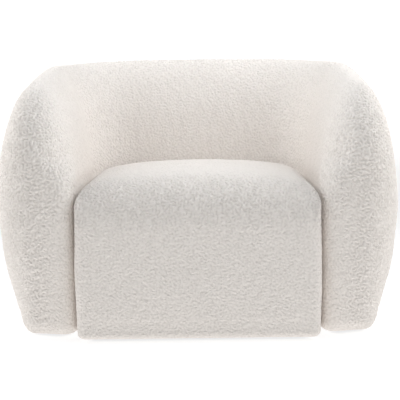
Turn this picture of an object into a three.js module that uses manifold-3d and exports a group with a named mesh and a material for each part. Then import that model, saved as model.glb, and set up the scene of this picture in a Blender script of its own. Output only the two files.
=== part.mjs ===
// Upholstered tub armchair: a one-piece wrap-around back and arms, with a seat block slotted between the arms.
// Millimetres, +Z up. The origin is on the floor under the middle of the chair's box; the front faces -Y.
import * as THREE from 'three';
import { mergeVertices } from 'three/addons/utils/BufferGeometryUtils.js';
import Module from 'manifold-3d';

const wasm = await Module();
wasm.setup();

// ---------------------------------------------------------------- driving dimensions
// Tub (arms and back): a section swept along a U-shaped centreline.
const ARM_X = 412;            // arm centreline from the middle plane
const NOSE_Y = -252;          // vertical axis that the front of an arm turns about
const BACK_Y = 320;           // centreline of the back
const CORNER_R = 230;         // centreline radius of the rear corners
const OUT_REACH = 101;        // section reach outwards at its widest
const IN_REACH = 100;         // section reach inwards at its widest
const NOSE_REACH = 150;       // section reach forwards at the arm front
const OUT_WIDE_Z = 322;       // heights of the widest places
const IN_WIDE_Z = 342;
const NOSE_WIDE_Z = 400;
const OUT_FOOT = 51;          // section reach just above the hem
const IN_FOOT = 97;
const NOSE_FOOT = 120;
const OUT_HEM_W = 44;         // width and height of the rounding along the bottom edge
const OUT_HEM_H = 48;
const IN_HEM_W = 6;
const IN_HEM_H = 8;
const NOSE_HEM_W = 50;
const NOSE_HEM_H = 50;
const BACK_H = 711;           // top of the back
const NOSE_H = 645;           // top of the arm above the nose axis
const RIDGE_RUN = 790;        // length over which the top rises from the nose to the back
const FLOOR_GAP = 9;          // height of the fabric's bottom edge
const SQUARE_LOW_Z = 340;     // the inner front of an arm is square below the first height
const SQUARE_HIGH_Z = 470;    // and round above the second
const ROUND = 2;              // powers of the plan curve round the front of an arm
const SQUARE = 4;
const SQUARE_FOOT = 7;
// Seat block
const SEAT_HALF = 304;        // half width
const SEAT_FRONT = -419;
const SEAT_REAR = 211;
const SEAT_TOP = 397;         // height of the edge of the top, before the crown
const SEAT_CROWN = 24;        // rise of the middle of the top over its edge
const SEAT_CROWN_Y = -65;     // where the crown is highest
const SEAT_CROWN_REACH = 400; // it is half as high this far away
const SEAT_FRONT_R = 115;     // roll over the front edge
const SEAT_SIDE_R = 58;
const SEAT_REAR_R = 50;
const SEAT_CORNER_FRONT = 20; // plan radii
const SEAT_CORNER_REAR = 130;
const SEAT_CORNER_OPENS = 50; // growth of the plan radii over the roll
const SEAT_BULGE = 4;         // swelling of the walls at mid height
const SEAT_HEM_R = 16;
// Upholstery layers
const COVER_T = 2.5;          // boucle with its wadding
const LAYER_GAP = 0.5;
const FOAM_INSET = COVER_T + LAYER_GAP;
const FIT = 0.3;              // air between touching pieces
// Timber
const BOARD_T = 18;
const RAIL_T = 27;
const FRAME_IN = 65;          // timber reach inwards and outwards of the tub's centreline
const FRAME_OUT = 6;
const FRAME_FRONT_Y = -305;
const FRAME_BOTTOM = 15;
const ARM_FRAME_TOP = 520;
const BACK_FRAME_TOP = 570;
const TOP_RAIL_H = 32;
const ARM_RAIL_SIDE_AIR = 12; // the arm's top rail stands in from both sides of its boards
const SEAT_RAIL_T = 22;       // rail in the arm that the seat block bears against
const SEAT_RAIL_BOTTOM = 215;
const SEAT_RAIL_TOP = 285;
const POST_HALF = 22;         // centre post of the back
const POST_SETBACK = 25;      // clear of the webbing when it stretches
const WEB_T = 2.4;
const WEB_W = 70;
const WEB_BOTTOMS = [340, 450];
const SLOT_AIR = 1;           // air between the timber and the foam's slot
const CORNER_X = ARM_X - CORNER_R;
const CORNER_Y = BACK_Y - CORNER_R;
// Seat timber, springs and pads
const SEAT_PANEL_X = 282;
const SEAT_PANEL_FRONT = -391;
const SEAT_PANEL_REAR = 183;
const SEAT_PANEL_CUT_X = 172; // where the rear corners of the seat frame are cut off
const SEAT_PANEL_CUT_Y = 87;
const SEAT_PANEL_TOP = 285;
const PAD_TOP = 302;          // the pads end and the foam of the top begins here
const PAD_AIR = 1;
const INSULATOR_T = 2;
const SPRING_WIRE = 4;
const SPRING_SWING = 22;
const SPRING_ARCH = 9;
const SPRING_WAVES = 8;
const SPRING_STEPS = 6;       // straight lengths of wire in a wave
const SPRING_X = [-208, -104, 0, 104, 208];
// Under the chair
const DUST_T = 1.6;
const DUST_Z = FLOOR_GAP + 0.6;
const DUST_CORNER_R = 5;
const GLIDE_R = 15;
const GLIDE_DOME = 3;
const GLIDE_EDGE = 2;
const GLIDE_STEM_R = 3;
const GLIDE_STEM_TOP = 30;
const GLIDE_FROM_ARM = 45;    // inwards from the tub's centreline
const FRONT_GLIDE_Y = -215;
const SEAT_GLIDE_X = 270;
const SEAT_GLIDE_Y = -325;
const PLATE_T = 3;
const PLATE_Z = FLOOR_GAP - FIT - PLATE_T;
const PLATE_Y = -105;
const PLATE_END = 20;         // plate beyond each screw
const ARM_SCREW_IN = 50;      // inwards from the tub's centreline
const SCREW_R = 2;
const SCREW_TOP = 40;
const SCREW_TIP = 5;
const HEAD_R = 4.5;
const HEAD_FLAT_R = 3.2;
const HEAD_H = 2.2;
const HEAD_SIDE_H = 1;
const HOLE_AIR = 0.5;

// ---------------------------------------------------------------- materials
const finish = (color, roughness, metalness = 0) =>
  new THREE.MeshStandardMaterial({ color, roughness, metalness });
const boucle = finish(0xe9e3dc, 0.97);
const foam = finish(0xf1e6c4, 0.9);
const plywood = finish(0xc9a877, 0.7);
const timber = finish(0xb98e5c, 0.72);
const springSteel = finish(0x8d9196, 0.35, 1);
const webbing = finish(0x2f3033, 0.85);
const felt = finish(0x8f8b84, 0.95);
const dustCloth = finish(0x1b1b1d, 0.95);
const nylon = finish(0x26262a, 0.5);
const zincSteel = finish(0xa9adb2, 0.4, 1);

// ---------------------------------------------------------------- solids
const clamp01 = (v) => Math.min(Math.max(v, 0), 1);
const smooth = (a, b, v) => {
  const t = clamp01((v - a) / (b - a));
  return t * t * (3 - 2 * t);
};

// Closed solid from loose triangles of [x, y, z] corners. The winding is set so that faces point out.
function solidFromTriangles(triangles) {
  const flat = triangles.flat(2);
  const loose = new THREE.BufferGeometry();
  loose.setAttribute('position', new THREE.Float32BufferAttribute(flat, 3));
  return toSolid(loose);
}

const MERGE_DISTANCE = 0.001;
function toSolid(geometry) {
  const bare = geometry.clone();
  bare.deleteAttribute('normal');
  bare.deleteAttribute('uv');
  const merged = mergeVertices(bare, MERGE_DISTANCE);
  const p = merged.attributes.position.array;
  const index = merged.index.array;
  const kept = [];
  let volume = 0;
  for (let i = 0; i < index.length; i += 3) {
    const [a, b, c] = [index[i], index[i + 1], index[i + 2]];
    if (a === b || b === c || c === a) continue;
    kept.push(a, b, c);
    const [va, vb, vc] = [a, b, c].map((v) => new THREE.Vector3().fromArray(p, 3 * v));
    volume += va.dot(vb.cross(vc));
  }
  if (volume < 0) {
    for (let i = 0; i < kept.length; i += 3) {
      [kept[i], kept[i + 1]] = [kept[i + 1], kept[i]];
    }
  }
  const mesh = new wasm.Mesh({ numProp: 3, vertProperties: p, triVerts: new Uint32Array(kept) });
  return new wasm.Manifold(mesh);
}

function toGeometry(solid) {
  const mesh = solid.getMesh();
  const geometry = new THREE.BufferGeometry();
  geometry.setAttribute('position', new THREE.Float32BufferAttribute(mesh.vertProperties, 3));
  geometry.setIndex(new THREE.Uint32BufferAttribute(mesh.triVerts, 1));
  geometry.computeVertexNormals();
  return geometry;
}

// Box between two corners.
function box(x0, x1, y0, y1, z0, z1) {
  const geometry = new THREE.BoxGeometry(x1 - x0, y1 - y0, z1 - z0);
  geometry.translate((x0 + x1) / 2, (y0 + y1) / 2, (z0 + z1) / 2);
  return toSolid(geometry);
}

// Upright cylinder.
const PEG_SIDES = 12;
function peg(x, y, z0, z1, radius) {
  const geometry = new THREE.CylinderGeometry(radius, radius, z1 - z0, PEG_SIDES);
  geometry.rotateX(Math.PI / 2);
  geometry.translate(x, y, (z0 + z1) / 2);
  return toSolid(geometry);
}

// Turned piece about an upright axis, from [radius, z] points that start and end on the axis.
function turned(x, y, profile, sides) {
  const points = profile.map(([r, z]) => new THREE.Vector2(r, z));
  const geometry = new THREE.LatheGeometry(points, sides);
  geometry.rotateX(Math.PI / 2);
  geometry.translate(x, y, 0);
  return toSolid(geometry);
}

// Flat outline in plan, raised between two heights.
const CURVE_SEGMENTS = 8;
function slab(shape, z0, z1) {
  const options = { depth: z1 - z0, bevelEnabled: false, curveSegments: CURVE_SEGMENTS };
  const geometry = new THREE.ExtrudeGeometry(shape, options);
  geometry.translate(0, 0, z0);
  return toSolid(geometry);
}

const polygon = (points) => new THREE.Shape(points.map(([x, y]) => new THREE.Vector2(x, y)));

// ---------------------------------------------------------------- the tub's surface
const ridgeHeight = (run) => BACK_H - (BACK_H - NOSE_H) * (1 - clamp01(run / RIDGE_RUN)) ** 2;
const RIDGE_SLOPE = (2 * (BACK_H - NOSE_H)) / RIDGE_RUN;

// Reach in plan: an ellipse-like curve between the sideways and the forward reach.
function planReach(side, front, turn, power) {
  const c = Math.abs(Math.cos(turn));
  const s = Math.sin(turn);
  return s < Number.EPSILON ? side : ((c / side) ** power + (s / front) ** power) ** (-1 / power);
}

// Half of the tub's section, as [reach, z] from the hem up to the top. The turn is 0 for the outside,
// a quarter turn for the front of an arm and a half turn for the inside.
const HEM_ROWS = 3;
const LOW_ROWS = 3;
const HIGH_ROWS = 6;
function tubColumn(turn, height, inset) {
  const outside = Math.cos(turn) > 0;
  const inner = (1 - Math.cos(turn)) / 2;
  const front = Math.sin(turn) ** 2;
  const sideWide = OUT_WIDE_Z + (IN_WIDE_Z - OUT_WIDE_Z) * inner;
  const wideZ = sideWide + (NOSE_WIDE_Z - sideWide) * front;
  const side = (outside ? OUT_REACH : IN_REACH) - inset;
  const rounding = (z) => SQUARE + (ROUND - SQUARE) * smooth(SQUARE_LOW_Z, SQUARE_HIGH_Z, z);
  const wide = (z) => planReach(side, NOSE_REACH - inset, turn, outside ? ROUND : rounding(z));
  const sideFoot = (outside ? OUT_FOOT : IN_FOOT) - inset;
  const foot = planReach(sideFoot, NOSE_FOOT - inset, turn, outside ? ROUND : SQUARE_FOOT);
  const towardsNose = (sideways, atNose) => sideways + (atNose - sideways) * front;
  const hemW = towardsNose(outside ? OUT_HEM_W : IN_HEM_W, NOSE_HEM_W);
  const hemH = towardsNose(outside ? OUT_HEM_H : IN_HEM_H, NOSE_HEM_H);
  const hemTop = FLOOR_GAP + hemH;
  const column = [];
  for (let i = 0; i < HEM_ROWS; i += 1) {
    const a = (i / HEM_ROWS) * (Math.PI / 2);
    column.push([foot - hemW + hemW * Math.sin(a), hemTop - (hemH - inset) * Math.cos(a)]);
  }
  for (let i = 0; i < LOW_ROWS; i += 1) {
    const t = i / LOW_ROWS;
    const z = hemTop + (wideZ - hemTop) * t;
    column.push([wide(z) - (wide(z) - foot) * (1 - t) ** 2, z]);
  }
  for (let i = 0; i < HIGH_ROWS; i += 1) {
    const a = (i / HIGH_ROWS) * (Math.PI / 2);
    const z = wideZ + (height - inset - wideZ) * Math.sin(a);
    const reach = wide(z) * Math.cos(a);
    column.push([reach, z - RIDGE_SLOPE * reach * Math.sin(turn) * Math.sin(a) ** 2]);
  }
  column.push([0, height - inset]);
  return column;
}

// A station holds a point of the centreline and the two plan directions of its section.
function station(x, y, outDir, inDir, outTurn, inTurn, run) {
  return { x, y, outDir, inDir, outTurn, inTurn, run };
}

const armStraight = CORNER_Y - NOSE_Y;
function cornerStation(angle, shift = 0) {
  const [c, s] = [Math.cos(angle), Math.sin(angle)];
  const x = CORNER_X + CORNER_R * c - shift * s;
  const y = CORNER_Y + CORNER_R * s + shift * c;
  return station(x, y, [c, s], [-c, -s], 0, Math.PI, armStraight + CORNER_R * angle);
}

const MITRE = Math.PI / 4;
const CORNER_STEPS = 3;
const STRAIGHT_STEPS = 3;
const NOSE_STEPS = 4;

// Right arm, from the mitre in the rear corner round to the arm's front.
function armStations(shift = -FIT) {
  const stations = [];
  for (let i = 0; i < CORNER_STEPS; i += 1) {
    stations.push(cornerStation(MITRE * (1 - i / CORNER_STEPS), i === 0 ? shift : 0));
  }
  for (let i = 0; i < STRAIGHT_STEPS; i += 1) {
    const run = armStraight * (1 - i / STRAIGHT_STEPS);
    stations.push(station(ARM_X, NOSE_Y + run, [1, 0], [-1, 0], 0, Math.PI, run));
  }
  for (let i = 0; i <= NOSE_STEPS; i += 1) {
    const turn = (i / NOSE_STEPS) * (Math.PI / 2);
    const [c, s] = [Math.cos(turn), Math.sin(turn)];
    stations.push(station(ARM_X, NOSE_Y, [c, -s], [-c, -s], turn, Math.PI - turn, 0));
  }
  return stations;
}

// Back, from the right mitre round to the left one.
const BACK_STEPS = 2;
function backStations(shift = FIT) {
  const right = [];
  for (let i = 0; i < CORNER_STEPS; i += 1) {
    const angle = MITRE * (1 + i / CORNER_STEPS);
    right.push(cornerStation(angle, i === 0 ? shift : 0));
  }
  const straight = [];
  const halfRun = armStraight + (CORNER_R * Math.PI) / 2;
  for (let i = 0; i <= BACK_STEPS; i += 1) {
    const x = CORNER_X * (1 - (2 * i) / BACK_STEPS);
    straight.push(station(x, BACK_Y, [0, 1], [0, -1], 0, Math.PI, halfRun + CORNER_X - Math.abs(x)));
  }
  return [...right, ...straight, ...right.reverse().map(mirrorStation)];
}

const flipX = ([x, y]) => [-x, y];
const mirrorStation = (s) => ({ ...s, x: -s.x, outDir: flipX(s.outDir), inDir: flipX(s.inDir) });

// Solid through a row of stations, each closed by its outer and inner column.
function tubSolid(stations, columnAt) {
  const sections = stations.map((s) => {
    const place = (dir) => ([reach, z]) => [s.x + dir[0] * reach, s.y + dir[1] * reach, z];
    return {
      outer: columnAt(s.outTurn, ridgeHeight(s.run)).map(place(s.outDir)),
      inner: columnAt(s.inTurn, ridgeHeight(s.run)).map(place(s.inDir)),
    };
  });
  const triangles = [];
  const quad = (a, b, c, d) => triangles.push([a, b, c], [a, c, d]);
  const rows = sections[0].outer.length;
  for (let i = 0; i + 1 < sections.length; i += 1) {
    const [a, b] = [sections[i], sections[i + 1]];
    for (let k = 0; k + 1 < rows; k += 1) {
      quad(a.outer[k], b.outer[k], b.outer[k + 1], a.outer[k + 1]);
      quad(b.inner[k], a.inner[k], a.inner[k + 1], b.inner[k + 1]);
    }
    quad(b.outer[0], a.outer[0], a.inner[0], b.inner[0]);
  }
  const cap = (section, turnedRound) => {
    for (let k = 0; k + 1 < rows; k += 1) {
      const corners = [section.outer[k], section.outer[k + 1], section.inner[k + 1], section.inner[k]];
      quad(...(turnedRound ? corners.reverse() : corners));
    }
  };
  cap(sections[0], false);
  cap(sections[sections.length - 1], true);
  return solidFromTriangles(triangles);
}

const layer = (inset) => (turn, height) => tubColumn(turn, height, inset);
// The same surface with its foot carried straight down, to open a skin at the bottom.
const BELOW = 20;
const openLayer = (inset) => (turn, height) => {
  const column = tubColumn(turn, height, inset);
  return [[column[0][0], -BELOW], ...column];
};

const mirrored = (solid) => solid.mirror([1, 0, 0]);
// A tool that reaches past the mitre, so that a skin or a slot stays open there.
const PAST_MITRE = 0.12;
const armTool = (columnAt) =>
  tubSolid([cornerStation(MITRE + PAST_MITRE), ...armStations(0)], columnAt);
const backTool = (columnAt) => {
  const past = cornerStation(MITRE - PAST_MITRE);
  return tubSolid([past, ...backStations(0), mirrorStation(past)], columnAt);
};

function armCover() {
  return tubSolid(armStations(), layer(0)).subtract(armTool(openLayer(COVER_T)));
}

function backCoverWhole() {
  return tubSolid(backStations(), layer(0)).subtract(backTool(openLayer(COVER_T)));
}

// The outside back is a separate panel, let in below a seam that runs under the top edge. It is all that
// lies outside the centreline and below the seam.
const SEAM_Z = 610;
const FAR = 900;
function outsideBelow(seamZ) {
  const inside = new THREE.Shape();
  inside.moveTo(ARM_X, -FAR);
  inside.lineTo(ARM_X, CORNER_Y);
  inside.absarc(CORNER_X, CORNER_Y, CORNER_R, 0, Math.PI / 2, false);
  inside.lineTo(-CORNER_X, BACK_Y);
  inside.absarc(-CORNER_X, CORNER_Y, CORNER_R, Math.PI / 2, Math.PI, false);
  inside.lineTo(-ARM_X, -FAR);
  inside.closePath();
  return box(-FAR, FAR, 0, FAR, -FAR, seamZ).subtract(slab(inside, -FAR, FAR));
}

// Slot inside the foam for the timber, as a closed plan outline.
function slotOutline(reachIn, reachOut, frontY) {
  const shape = new THREE.Shape();
  shape.moveTo(ARM_X + reachOut, frontY);
  shape.lineTo(ARM_X + reachOut, CORNER_Y);
  shape.absarc(CORNER_X, CORNER_Y, CORNER_R + reachOut, 0, Math.PI / 2, false);
  shape.lineTo(-CORNER_X, BACK_Y + reachOut);
  shape.absarc(-CORNER_X, CORNER_Y, CORNER_R + reachOut, Math.PI / 2, Math.PI, false);
  shape.lineTo(-ARM_X - reachOut, frontY);
  shape.lineTo(-ARM_X + reachIn, frontY);
  shape.lineTo(-ARM_X + reachIn, CORNER_Y);
  shape.absarc(-CORNER_X, CORNER_Y, CORNER_R - reachIn, Math.PI, Math.PI / 2, true);
  shape.lineTo(CORNER_X, BACK_Y - reachIn);
  shape.absarc(CORNER_X, CORNER_Y, CORNER_R - reachIn, Math.PI / 2, 0, true);
  shape.lineTo(ARM_X - reachIn, frontY);
  shape.closePath();
  return shape;
}

function timberSlot(top) {
  const outline = slotOutline(FRAME_IN + SLOT_AIR, FRAME_OUT + SLOT_AIR, FRAME_FRONT_Y - SLOT_AIR);
  return slab(outline, -BELOW, top + SLOT_AIR);
}

const armFoam = () => tubSolid(armStations(), layer(FOAM_INSET)).subtract(timberSlot(ARM_FRAME_TOP));
const backFoam = () => {
  const slot = timberSlot(ARM_FRAME_TOP).add(
    timberSlot(BACK_FRAME_TOP).intersect(box(-CORNER_X, CORNER_X, 0, FAR, 0, FAR)));
  return tubSolid(backStations(), layer(FOAM_INSET)).subtract(slot);
};

// ---------------------------------------------------------------- the seat's surface
// Rounded rectangle in plan as [x, y, nx, ny, k], k running 0 at the front, 1 at a side and 2 at the rear.
const SIDE_CUTS = 3;
const END_CUTS = 4;
const CORNER_CUTS = 3;
function seatLoop(half, front, rear, cornerFront, cornerRear) {
  const loop = [];
  const line = (x0, y0, x1, y1, cuts, normal, kind) => {
    for (let i = 0; i < cuts; i += 1) {
      const t = i / cuts;
      loop.push([x0 + (x1 - x0) * t, y0 + (y1 - y0) * t, ...normal, kind]);
    }
  };
  const arc = (x, y, r, startQuarter, kind0, kind1) => {
    for (let i = 0; i < CORNER_CUTS; i += 1) {
      const t = i / CORNER_CUTS;
      const a = ((startQuarter + t) * Math.PI) / 2;
      const [c, s] = [Math.cos(a), Math.sin(a)];
      loop.push([x + r * c, y + r * s, c, s, kind0 + (kind1 - kind0) * t]);
    }
  };
  line(-half + cornerFront, front, half - cornerFront, front, END_CUTS, [0, -1], 0);
  arc(half - cornerFront, front + cornerFront, cornerFront, -1, 0, 1);
  line(half, front + cornerFront, half, rear - cornerRear, SIDE_CUTS, [1, 0], 1);
  arc(half - cornerRear, rear - cornerRear, cornerRear, 0, 1, 2);
  line(half - cornerRear, rear, -half + cornerRear, rear, END_CUTS, [0, 1], 2);
  arc(-half + cornerRear, rear - cornerRear, cornerRear, 1, 2, 1);
  line(-half, rear - cornerRear, -half, front + cornerFront, SIDE_CUTS, [-1, 0], 1);
  arc(-half + cornerFront, front + cornerFront, cornerFront, 2, 1, 0);
  return loop;
}

const seatCrown = (x, y) =>
  SEAT_CROWN * (1 - (x / SEAT_HALF) ** 2) * (1 - ((y - SEAT_CROWN_Y) / SEAT_CROWN_REACH) ** 2 / 2);
const edgeRadius = (kind) =>
  kind <= 1
    ? SEAT_FRONT_R + (SEAT_SIDE_R - SEAT_FRONT_R) * smooth(0, 1, kind)
    : SEAT_SIDE_R + (SEAT_REAR_R - SEAT_SIDE_R) * (kind - 1);

const WALL_ROWS = 2;
const ROLL_ROWS = 4;
const TOP_ROWS = 3;
function seatSolid(inset, open) {
  const half = SEAT_HALF - inset;
  const front = SEAT_FRONT + inset;
  const rear = SEAT_REAR - inset;
  const top = SEAT_TOP - inset;
  const corner = SEAT_CORNER_FRONT - inset;
  const cornerRear = SEAT_CORNER_REAR - inset;
  const hemTop = FLOOR_GAP + SEAT_HEM_R;
  const loops = [];
  const wall = seatLoop(half, front, rear, corner, cornerRear);
  const hem = SEAT_HEM_R * (1 - Math.cos(Math.PI / 4));
  if (open) {
    loops.push(wall.map(([x, y, nx, ny]) => [x - nx * SEAT_HEM_R, y - ny * SEAT_HEM_R, -SEAT_HEM_R]));
  }
  loops.push(wall.map(([x, y, nx, ny]) => [x - nx * SEAT_HEM_R, y - ny * SEAT_HEM_R, FLOOR_GAP + inset]));
  loops.push(wall.map(([x, y, nx, ny]) => [x - nx * hem, y - ny * hem, FLOOR_GAP + hem + inset / 2]));
  for (let i = 0; i < WALL_ROWS; i += 1) {
    const t = i / WALL_ROWS;
    const bulge = SEAT_BULGE * Math.sin(Math.PI * t);
    loops.push(wall.map(([x, y, nx, ny, kind]) => [
      x + nx * bulge, y + (ny * bulge) / 2, hemTop + (top - edgeRadius(kind) - hemTop) * t]));
  }
  for (let i = 0; i <= ROLL_ROWS; i += 1) {
    const a = (i / ROLL_ROWS) * (Math.PI / 2);
    const pull = 1 - Math.cos(a);
    const loop = seatLoop(half - SEAT_SIDE_R * pull, front + SEAT_FRONT_R * pull, rear - SEAT_REAR_R * pull,
      corner + SEAT_CORNER_OPENS * pull, cornerRear);
    loops.push(loop.map(([x, y, , , kind]) => {
      const radius = edgeRadius(kind);
      return [x, y, top - radius + (radius + seatCrown(x, y)) * Math.sin(a)];
    }));
  }
  const rim = loops[loops.length - 1];
  const centreY = (front + SEAT_FRONT_R + rear - SEAT_REAR_R) / 2;
  for (let i = 1; i < TOP_ROWS; i += 1) {
    const s = 1 - i / TOP_ROWS;
    loops.push(rim.map(([x, y]) => {
      const [sx, sy] = [x * s, centreY + (y - centreY) * s];
      return [sx, sy, top + seatCrown(sx, sy)];
    }));
  }
  const triangles = [];
  const count = rim.length;
  for (let k = 0; k + 1 < loops.length; k += 1) {
    for (let i = 0; i < count; i += 1) {
      const j = (i + 1) % count;
      triangles.push([loops[k][i], loops[k][j], loops[k + 1][j]], [loops[k][i], loops[k + 1][j], loops[k + 1][i]]);
    }
  }
  const fan = (loop, point, up) => {
    for (let i = 0; i < count; i += 1) {
      const j = (i + 1) % count;
      triangles.push(up ? [loop[i], loop[j], point] : [loop[j], loop[i], point]);
    }
  };
  fan(loops[loops.length - 1], [0, centreY, top + seatCrown(0, centreY)], true);
  fan(loops[0], [0, centreY, loops[0][0][2]], false);
  return solidFromTriangles(triangles);
}

// ---------------------------------------------------------------- the chair
const chair = new THREE.Group();
function add(name, solid, material) {
  const mesh = new THREE.Mesh(toGeometry(solid), material);
  mesh.name = name;
  chair.add(mesh);
}

// A piece on the right and its mirror image on the left.
function addPair(name, solid, material) {
  add(`right_${name}`, solid, material);
  add(`left_${name}`, mirrored(solid), material);
}

// Places of the things that are driven up through the timber from below.
const cornerPoint = (angle, reach) => [
  CORNER_X + (CORNER_R + reach) * Math.cos(angle), CORNER_Y + (CORNER_R + reach) * Math.sin(angle)];
const frontGlide = [ARM_X - GLIDE_FROM_ARM, FRONT_GLIDE_Y];
const rearGlide = cornerPoint(MITRE, -GLIDE_FROM_ARM);
const seatGlide = [SEAT_GLIDE_X, SEAT_GLIDE_Y];
const armScrew = [ARM_X - ARM_SCREW_IN, PLATE_Y];
const seatScrew = [SEAT_PANEL_X - BOARD_T / 2, PLATE_Y];
const stemHole = ([x, y]) => peg(x, y, -BELOW, GLIDE_STEM_TOP + HOLE_AIR, GLIDE_STEM_R + HOLE_AIR);
const screwHole = ([x, y]) => peg(x, y, -BELOW, SCREW_TOP + HOLE_AIR, SCREW_R + HOLE_AIR);
const bothSides = (solid) => solid.add(mirrored(solid));

// Arm timber: a front board and a rear board joined by three rails.
function addArmTimber() {
  const [x0, x1] = [ARM_X - FRAME_IN, ARM_X + FRAME_OUT];
  const railFront = FRAME_FRONT_Y + BOARD_T + FIT;
  const rearBoard = CORNER_Y - BOARD_T;
  const railRear = rearBoard - FIT;
  const baseBottom = FRAME_BOTTOM + RAIL_T;
  addPair('arm_front_board',
    box(x0, x1, FRAME_FRONT_Y, FRAME_FRONT_Y + BOARD_T, baseBottom + FIT, ARM_FRAME_TOP), plywood);
  addPair('arm_rear_board', box(x0, x1, rearBoard, CORNER_Y, FRAME_BOTTOM, ARM_FRAME_TOP), plywood);
  addPair('arm_base_rail', box(x0, x1, FRAME_FRONT_Y, railRear, FRAME_BOTTOM, baseBottom)
    .subtract(stemHole(frontGlide)).subtract(screwHole(armScrew)), timber);
  addPair('arm_seat_rail',
    box(x0, x0 + SEAT_RAIL_T, railFront, railRear, SEAT_RAIL_BOTTOM, SEAT_RAIL_TOP), timber);
  addPair('arm_top_rail', box(x0 + ARM_RAIL_SIDE_AIR, x1 - ARM_RAIL_SIDE_AIR, railFront, railRear,
    ARM_FRAME_TOP - TOP_RAIL_H, ARM_FRAME_TOP), timber);
}

// Corner plates: quarter rings of plywood that carry the curve from the arm to the back.
function addCornerPlates() {
  const ring = new THREE.Shape();
  const [r0, r1] = [CORNER_R - FRAME_IN, CORNER_R + FRAME_OUT];
  const lead = FIT / r0;
  ring.absarc(CORNER_X, CORNER_Y, r1, lead, Math.PI / 2 - lead, false);
  ring.absarc(CORNER_X, CORNER_Y, r0, Math.PI / 2 - lead, lead, true);
  ring.closePath();
  addPair('corner_base_plate', slab(ring, FRAME_BOTTOM, FRAME_BOTTOM + BOARD_T).subtract(stemHole(rearGlide)),
    plywood);
  addPair('corner_top_plate', slab(ring, ARM_FRAME_TOP - BOARD_T, ARM_FRAME_TOP), plywood);
}

// Back timber: two ribs and a centre post between a base rail and a top rail, with elastic webbing in front.
function addBackTimber() {
  const [y0, y1] = [BACK_Y - FRAME_IN, BACK_Y + FRAME_OUT];
  const ribFront = y0 + WEB_T + FIT;
  const inner = CORNER_X - BOARD_T - FIT;
  const railTop = FRAME_BOTTOM + RAIL_T;
  const topRail = BACK_FRAME_TOP - TOP_RAIL_H;
  addPair('back_rib', box(CORNER_X - BOARD_T, CORNER_X, ribFront, y1, FRAME_BOTTOM, BACK_FRAME_TOP), plywood);
  add('back_base_rail', box(-inner, inner, ribFront, y1, FRAME_BOTTOM, railTop), timber);
  add('back_top_rail', box(-inner, inner, ribFront, y1, topRail, BACK_FRAME_TOP), timber);
  add('back_centre_post',
    box(-POST_HALF, POST_HALF, ribFront + POST_SETBACK, y1, railTop + FIT, topRail - FIT), timber);
  WEB_BOTTOMS.forEach((z, i) => {
    add(`back_web_${i + 1}`, box(-CORNER_X, CORNER_X, y0, y0 + WEB_T, z, z + WEB_W), webbing);
  });
}

// Seat timber: a box of upright panels with its rear corners cut off.
function addSeatTimber() {
  const [z0, z1] = [FRAME_BOTTOM, SEAT_PANEL_TOP];
  const inner = SEAT_PANEL_X - BOARD_T;
  const front = SEAT_PANEL_FRONT + BOARD_T;
  add('seat_front_panel', box(-SEAT_PANEL_X, SEAT_PANEL_X, SEAT_PANEL_FRONT, front, z0, z1), plywood);
  addPair('seat_side_panel', box(inner, SEAT_PANEL_X, front + FIT, SEAT_PANEL_CUT_Y, z0, z1)
    .subtract(stemHole(seatGlide)).subtract(screwHole(seatScrew)), plywood);
  add('seat_rear_panel',
    box(-SEAT_PANEL_CUT_X, SEAT_PANEL_CUT_X, SEAT_PANEL_REAR - BOARD_T, SEAT_PANEL_REAR, z0, z1), plywood);
  const slant = Math.atan2(SEAT_PANEL_REAR - SEAT_PANEL_CUT_Y, SEAT_PANEL_X - SEAT_PANEL_CUT_X);
  const corner = polygon([
    [SEAT_PANEL_X, SEAT_PANEL_CUT_Y + FIT], [SEAT_PANEL_CUT_X + FIT, SEAT_PANEL_REAR],
    [SEAT_PANEL_CUT_X + FIT, SEAT_PANEL_REAR - BOARD_T / Math.cos(slant)],
    [SEAT_PANEL_X - BOARD_T / Math.sin(slant), SEAT_PANEL_CUT_Y + FIT]]);
  addPair('seat_corner_panel', slab(corner, z0, z1), plywood);
}

// Serpentine springs from the front panel to the rear panel, arched upwards.
function spring(x) {
  const yFront = SEAT_PANEL_FRONT + BOARD_T / 2;
  const cutSlope = (SEAT_PANEL_REAR - SEAT_PANEL_CUT_Y) / (SEAT_PANEL_X - SEAT_PANEL_CUT_X);
  const pastCut = Math.max(0, Math.abs(x) + SPRING_SWING / 2 - SEAT_PANEL_CUT_X);
  const yRear = SEAT_PANEL_REAR - BOARD_T / 2 - pastCut * cutSlope;
  const steps = SPRING_WAVES * SPRING_STEPS;
  const points = [];
  for (let i = 0; i <= steps; i += 1) {
    const t = i / steps;
    points.push(new THREE.Vector3(
      x + SPRING_SWING * Math.sin(2 * Math.PI * SPRING_WAVES * t),
      yFront + (yRear - yFront) * t,
      SEAT_PANEL_TOP + FIT + SPRING_WIRE / 2 + SPRING_ARCH * Math.sin(Math.PI * t)));
  }
  const half = SPRING_WIRE / 2;
  const section = polygon([[-half, 0], [0, -half], [half, 0], [0, half]]);
  const options = { steps, extrudePath: new THREE.CatmullRomCurve3(points), bevelEnabled: false };
  return toSolid(new THREE.ExtrudeGeometry(section, options));
}

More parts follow.
